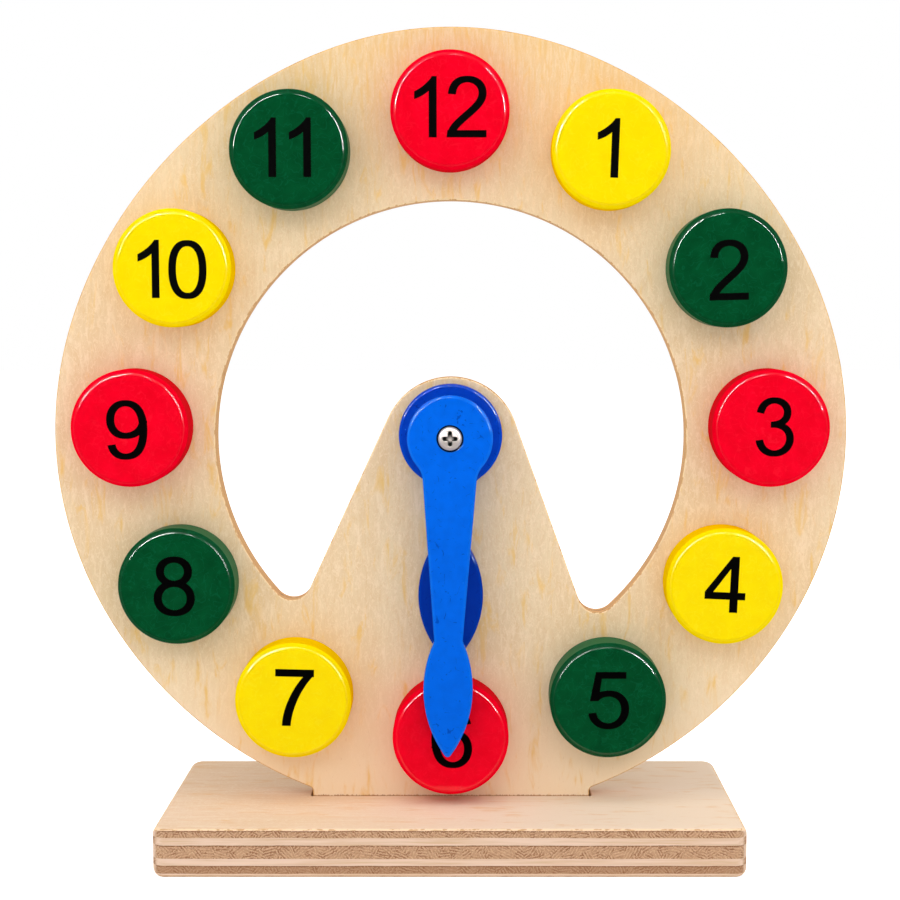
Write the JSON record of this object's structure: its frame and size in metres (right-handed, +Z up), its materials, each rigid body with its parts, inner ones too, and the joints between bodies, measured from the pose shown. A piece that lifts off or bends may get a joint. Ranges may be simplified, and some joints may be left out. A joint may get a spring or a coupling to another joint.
{
  "type": "teaching clock",
  "caption": "Free-standing wooden teaching clock: ring-shaped dial plate in a plywood foot, turning number discs on pegs and two hands on one pivot screw.",
  "frame": {"origin": "centre of the base board's underside, which is the middle of the overall box's bottom", "axes": "+Z up, the dial faces -Y, +X to the three o'clock side as one looks at the dial"},
  "size_m": [0.25, 0.08, 0.2582],
  "materials": {
    "plywood_base": "sanded birch plywood, clear matt lacquer",
    "plywood_dial": "sanded plywood with upright face grain, clear satin lacquer",
    "dowel": "bare beech dowel",
    "red_lacquer": "gloss red lacquer on wood",
    "yellow_lacquer": "gloss yellow lacquer on wood",
    "green_lacquer": "gloss dark green lacquer on wood",
    "dark_blue_paint": "satin dark blue paint on wood",
    "blue_paint": "satin bright blue paint on wood",
    "plated_steel": "nickel-plated steel"
  },
  "bodies": {
    "stand": {"base_board": "plywood_base", "dial_plate": "plywood_dial", "front_washer": "plated_steel", "hand_spacer": "dowel", "pivot_screw": "plated_steel", "back_washer": "plated_steel", "lock_nut": "plated_steel"},
    "hour_hand": {"hour_hand": "dark_blue_paint"},
    "minute_hand": {"minute_hand": "blue_paint"},
    "peg_01": {"disc_peg_01": "dowel"},
    "disc_01": {"number_disc_01": "yellow_lacquer"},
    "peg_02": {"disc_peg_02": "dowel"},
    "disc_02": {"number_disc_02": "green_lacquer"},
    "peg_03": {"disc_peg_03": "dowel"},
    "disc_03": {"number_disc_03": "red_lacquer"},
    "peg_04": {"disc_peg_04": "dowel"},
    "disc_04": {"number_disc_04": "yellow_lacquer"},
    "peg_05": {"disc_peg_05": "dowel"},
    "disc_05": {"number_disc_05": "green_lacquer"},
    "peg_06": {"disc_peg_06": "dowel"},
    "disc_06": {"number_disc_06": "red_lacquer"},
    "peg_07": {"disc_peg_07": "dowel"},
    "disc_07": {"number_disc_07": "yellow_lacquer"},
    "peg_08": {"disc_peg_08": "dowel"},
    "disc_08": {"number_disc_08": "green_lacquer"},
    "peg_09": {"disc_peg_09": "dowel"},
    "disc_09": {"number_disc_09": "red_lacquer"},
    "peg_10": {"disc_peg_10": "dowel"},
    "disc_10": {"number_disc_10": "yellow_lacquer"},
    "peg_11": {"disc_peg_11": "dowel"},
    "disc_11": {"number_disc_11": "green_lacquer"},
    "peg_12": {"disc_peg_12": "dowel"},
    "disc_12": {"number_disc_12": "red_lacquer"}
  },
  "joints": [
    {"name": "hour_hand_turn", "type": "hinge", "parent": "stand", "child": "hour_hand", "pos_m": [0, 0, 0.1314], "axis": [0, -1, 0], "continuous": true},
    {"name": "minute_hand_turn", "type": "hinge", "parent": "stand", "child": "minute_hand", "pos_m": [0, 0, 0.1314], "axis": [0, -1, 0], "continuous": true},
    {"name": "disc_01_pull", "type": "slide", "parent": "stand", "child": "peg_01", "axis": [0, -1, 0], "range_m": [0, 0.012]},
    {"name": "disc_01_turn", "type": "hinge", "parent": "peg_01", "child": "disc_01", "pos_m": [0.0494, 0, 0.21966], "axis": [0, -1, 0], "continuous": true},
    {"name": "disc_02_pull", "type": "slide", "parent": "stand", "child": "peg_02", "axis": [0, -1, 0], "range_m": [0, 0.012]},
    {"name": "disc_02_turn", "type": "hinge", "parent": "peg_02", "child": "disc_02", "pos_m": [0.08556, 0, 0.1835], "axis": [0, -1, 0], "continuous": true},
    {"name": "disc_03_pull", "type": "slide", "parent": "stand", "child": "peg_03", "axis": [0, -1, 0], "range_m": [0, 0.012]},
    {"name": "disc_03_turn", "type": "hinge", "parent": "peg_03", "child": "disc_03", "pos_m": [0.0994, 0, 0.1341], "axis": [0, -1, 0], "continuous": true},
    {"name": "disc_04_pull", "type": "slide", "parent": "stand", "child": "peg_04", "axis": [0, -1, 0], "range_m": [0, 0.012]},
    {"name": "disc_04_turn", "type": "hinge", "parent": "peg_04", "child": "disc_04", "pos_m": [0.08556, 0, 0.0847], "axis": [0, -1, 0], "continuous": true},
    {"name": "disc_05_pull", "type": "slide", "parent": "stand", "child": "peg_05", "axis": [0, -1, 0], "range_m": [0, 0.012]},
    {"name": "disc_05_turn", "type": "hinge", "parent": "peg_05", "child": "disc_05", "pos_m": [0.0494, 0, 0.04854], "axis": [0, -1, 0], "continuous": true},
    {"name": "disc_06_pull", "type": "slide", "parent": "stand", "child": "peg_06", "axis": [0, -1, 0], "range_m": [0, 0.0012]},
    {"name": "disc_06_turn", "type": "hinge", "parent": "peg_06", "child": "disc_06", "pos_m": [0, 0, 0.0367], "axis": [0, -1, 0], "continuous": true},
    {"name": "disc_07_pull", "type": "slide", "parent": "stand", "child": "peg_07", "axis": [0, -1, 0], "range_m": [0, 0.012]},
    {"name": "disc_07_turn", "type": "hinge", "parent": "peg_07", "child": "disc_07", "pos_m": [-0.0494, 0, 0.04854], "axis": [0, -1, 0], "continuous": true},
    {"name": "disc_08_pull", "type": "slide", "parent": "stand", "child": "peg_08", "axis": [0, -1, 0], "range_m": [0, 0.012]},
    {"name": "disc_08_turn", "type": "hinge", "parent": "peg_08", "child": "disc_08", "pos_m": [-0.08556, 0, 0.0847], "axis": [0, -1, 0], "continuous": true},
    {"name": "disc_09_pull", "type": "slide", "parent": "stand", "child": "peg_09", "axis": [0, -1, 0], "range_m": [0, 0.012]},
    {"name": "disc_09_turn", "type": "hinge", "parent": "peg_09", "child": "disc_09", "pos_m": [-0.0994, 0, 0.1341], "axis": [0, -1, 0], "continuous": true},
    {"name": "disc_10_pull", "type": "slide", "parent": "stand", "child": "peg_10", "axis": [0, -1, 0], "range_m": [0, 0.012]},
    {"name": "disc_10_turn", "type": "hinge", "parent": "peg_10", "child": "disc_10", "pos_m": [-0.08556, 0, 0.1835], "axis": [0, -1, 0], "continuous": true},
    {"name": "disc_11_pull", "type": "slide", "parent": "stand", "child": "peg_11", "axis": [0, -1, 0], "range_m": [0, 0.012]},
    {"name": "disc_11_turn", "type": "hinge", "parent": "peg_11", "child": "disc_11", "pos_m": [-0.0494, 0, 0.21966], "axis": [0, -1, 0], "continuous": true},
    {"name": "disc_12_pull", "type": "slide", "parent": "stand", "child": "peg_12", "axis": [0, -1, 0], "range_m": [0, 0.0012]},
    {"name": "disc_12_turn", "type": "hinge", "parent": "peg_12", "child": "disc_12", "pos_m": [0, 0, 0.2315], "axis": [0, -1, 0], "continuous": true}
  ]
}
